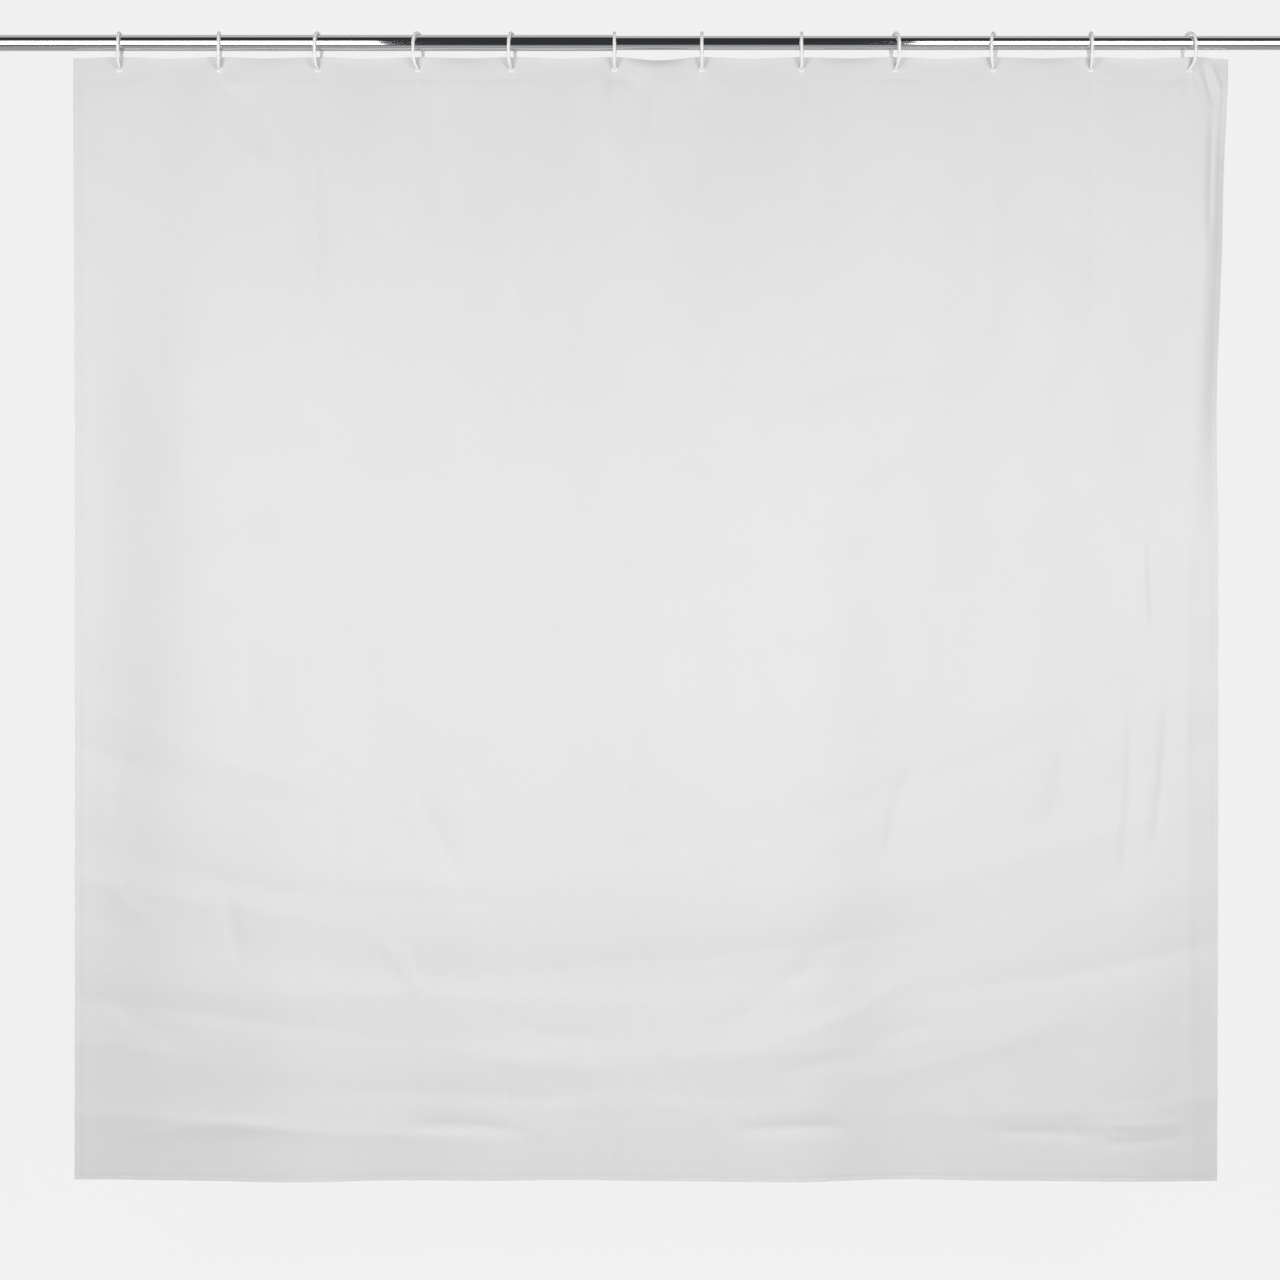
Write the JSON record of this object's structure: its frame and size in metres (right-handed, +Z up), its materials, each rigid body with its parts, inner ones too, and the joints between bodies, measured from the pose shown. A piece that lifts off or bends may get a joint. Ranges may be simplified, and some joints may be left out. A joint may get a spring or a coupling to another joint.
{
  "type": "shower curtain",
  "caption": "White plastic-film shower curtain hung by snap rings from a telescopic tension rod that presses between two walls.",
  "frame": {"origin": "centre of the left rubber pad's outer face, on the rod's axis, where the rod meets the left wall", "axes": "+X along the rod to the right wall, +Y behind the curtain, +Z up; seen from the front the camera looks along +Y"},
  "size_m": [2.1414, 0.05, 1.8273],
  "materials": {
    "film": "satin",
    "chrome": "polished",
    "ring_plastic": "gloss",
    "cup_plastic": "satin",
    "lock_plastic": "satin",
    "steel": "satin",
    "pad_rubber": "matte"
  },
  "bodies": {
    "rod": {"rod_outer_tube": "chrome", "guide_bush": "cup_plastic", "end_cup_left": "cup_plastic", "end_pad_left": "pad_rubber"},
    "lock": {"lock_sleeve": "lock_plastic"},
    "inner_rod": {"rod_inner_tube": "chrome", "lock_spindle": "steel", "spring_seat": "lock_plastic", "foot_spring": "steel"},
    "right_foot": {"end_cup_right": "cup_plastic", "end_pad_right": "pad_rubber"},
    "curtain": {"curtain_film": "film", "header_band": "film"},
    "ring_01": {"ring_01": "ring_plastic"},
    "ring_02": {"ring_02": "ring_plastic"},
    "ring_03": {"ring_03": "ring_plastic"},
    "ring_04": {"ring_04": "ring_plastic"},
    "ring_05": {"ring_05": "ring_plastic"},
    "ring_06": {"ring_06": "ring_plastic"},
    "ring_07": {"ring_07": "ring_plastic"},
    "ring_08": {"ring_08": "ring_plastic"},
    "ring_09": {"ring_09": "ring_plastic"},
    "ring_10": {"ring_10": "ring_plastic"},
    "ring_11": {"ring_11": "ring_plastic"},
    "ring_12": {"ring_12": "ring_plastic"}
  },
  "joints": [
    {"name": "rod_extend", "type": "slide", "parent": "rod", "child": "lock", "axis": [1, 0, 0], "range_m": [-0.06, 0.16]},
    {"name": "rod_twist", "type": "hinge", "parent": "lock", "child": "inner_rod", "pos_m": [1.2, 0, 0], "axis": [1, 0, 0], "range_deg": [0, 180]},
    {"name": "foot_press", "type": "slide", "parent": "inner_rod", "child": "right_foot", "axis": [-1, 0, 0], "range_m": [0, 0.015], "stiffness_N_per_m": 2500, "deforming": ["foot_spring"]},
    {"name": "curtain_swing", "type": "hinge", "parent": "rod", "child": "curtain", "pos_m": [1, 0, 0], "axis": [1, 0, 0], "range_deg": [-40, 40]},
    {"name": "curtain_draw", "type": "slide", "parent": "curtain", "child": "ring_12", "axis": [-1, 0, 0], "range_m": [0, 1.3794], "deforming": ["curtain_film", "header_band"]},
    {"name": "ring_01_slide", "type": "slide", "parent": "curtain", "child": "ring_01", "axis": [-1, 0, 0], "range_m": [0, 0.058]},
    {"name": "ring_02_slide", "type": "slide", "parent": "curtain", "child": "ring_02", "axis": [-1, 0, 0], "range_m": [0, 0.1813]},
    {"name": "ring_03_slide", "type": "slide", "parent": "curtain", "child": "ring_03", "axis": [-1, 0, 0], "range_m": [0, 0.3026]},
    {"name": "ring_04_slide", "type": "slide", "parent": "curtain", "child": "ring_04", "axis": [-1, 0, 0], "range_m": [0, 0.4263]},
    {"name": "ring_05_slide", "type": "slide", "parent": "curtain", "child": "ring_05", "axis": [-1, 0, 0], "range_m": [0, 0.5422]},
    {"name": "ring_06_slide", "type": "slide", "parent": "curtain", "child": "ring_06", "axis": [-1, 0, 0], "range_m": [0, 0.6694]},
    {"name": "ring_07_slide", "type": "slide", "parent": "curtain", "child": "ring_07", "axis": [-1, 0, 0], "range_m": [0, 0.7771]},
    {"name": "ring_08_slide", "type": "slide", "parent": "curtain", "child": "ring_08", "axis": [-1, 0, 0], "range_m": [0, 0.9004]},
    {"name": "ring_09_slide", "type": "slide", "parent": "curtain", "child": "ring_09", "axis": [-1, 0, 0], "range_m": [0, 1.0166]},
    {"name": "ring_10_slide", "type": "slide", "parent": "curtain", "child": "ring_10", "axis": [-1, 0, 0], "range_m": [0, 1.1376]},
    {"name": "ring_11_slide", "type": "slide", "parent": "curtain", "child": "ring_11", "axis": [-1, 0, 0], "range_m": [0, 1.2578]}
  ],
  "couplings": [
    {"joint": "ring_01_slide", "follows": "curtain_draw", "ratio": 0.041674},
    {"joint": "ring_02_slide", "follows": "curtain_draw", "ratio": 0.13106},
    {"joint": "ring_03_slide", "follows": "curtain_draw", "ratio": 0.21902},
    {"joint": "ring_04_slide", "follows": "curtain_draw", "ratio": 0.30869},
    {"joint": "ring_05_slide", "follows": "curtain_draw", "ratio": 0.3927},
    {"joint": "ring_06_slide", "follows": "curtain_draw", "ratio": 0.48491},
    {"joint": "ring_07_slide", "follows": "curtain_draw", "ratio": 0.56298},
    {"joint": "ring_08_slide", "follows": "curtain_draw", "ratio": 0.65237},
    {"joint": "ring_09_slide", "follows": "curtain_draw", "ratio": 0.73666},
    {"joint": "ring_10_slide", "follows": "curtain_draw", "ratio": 0.82434},
    {"joint": "ring_11_slide", "follows": "curtain_draw", "ratio": 0.91147}
  ]
}
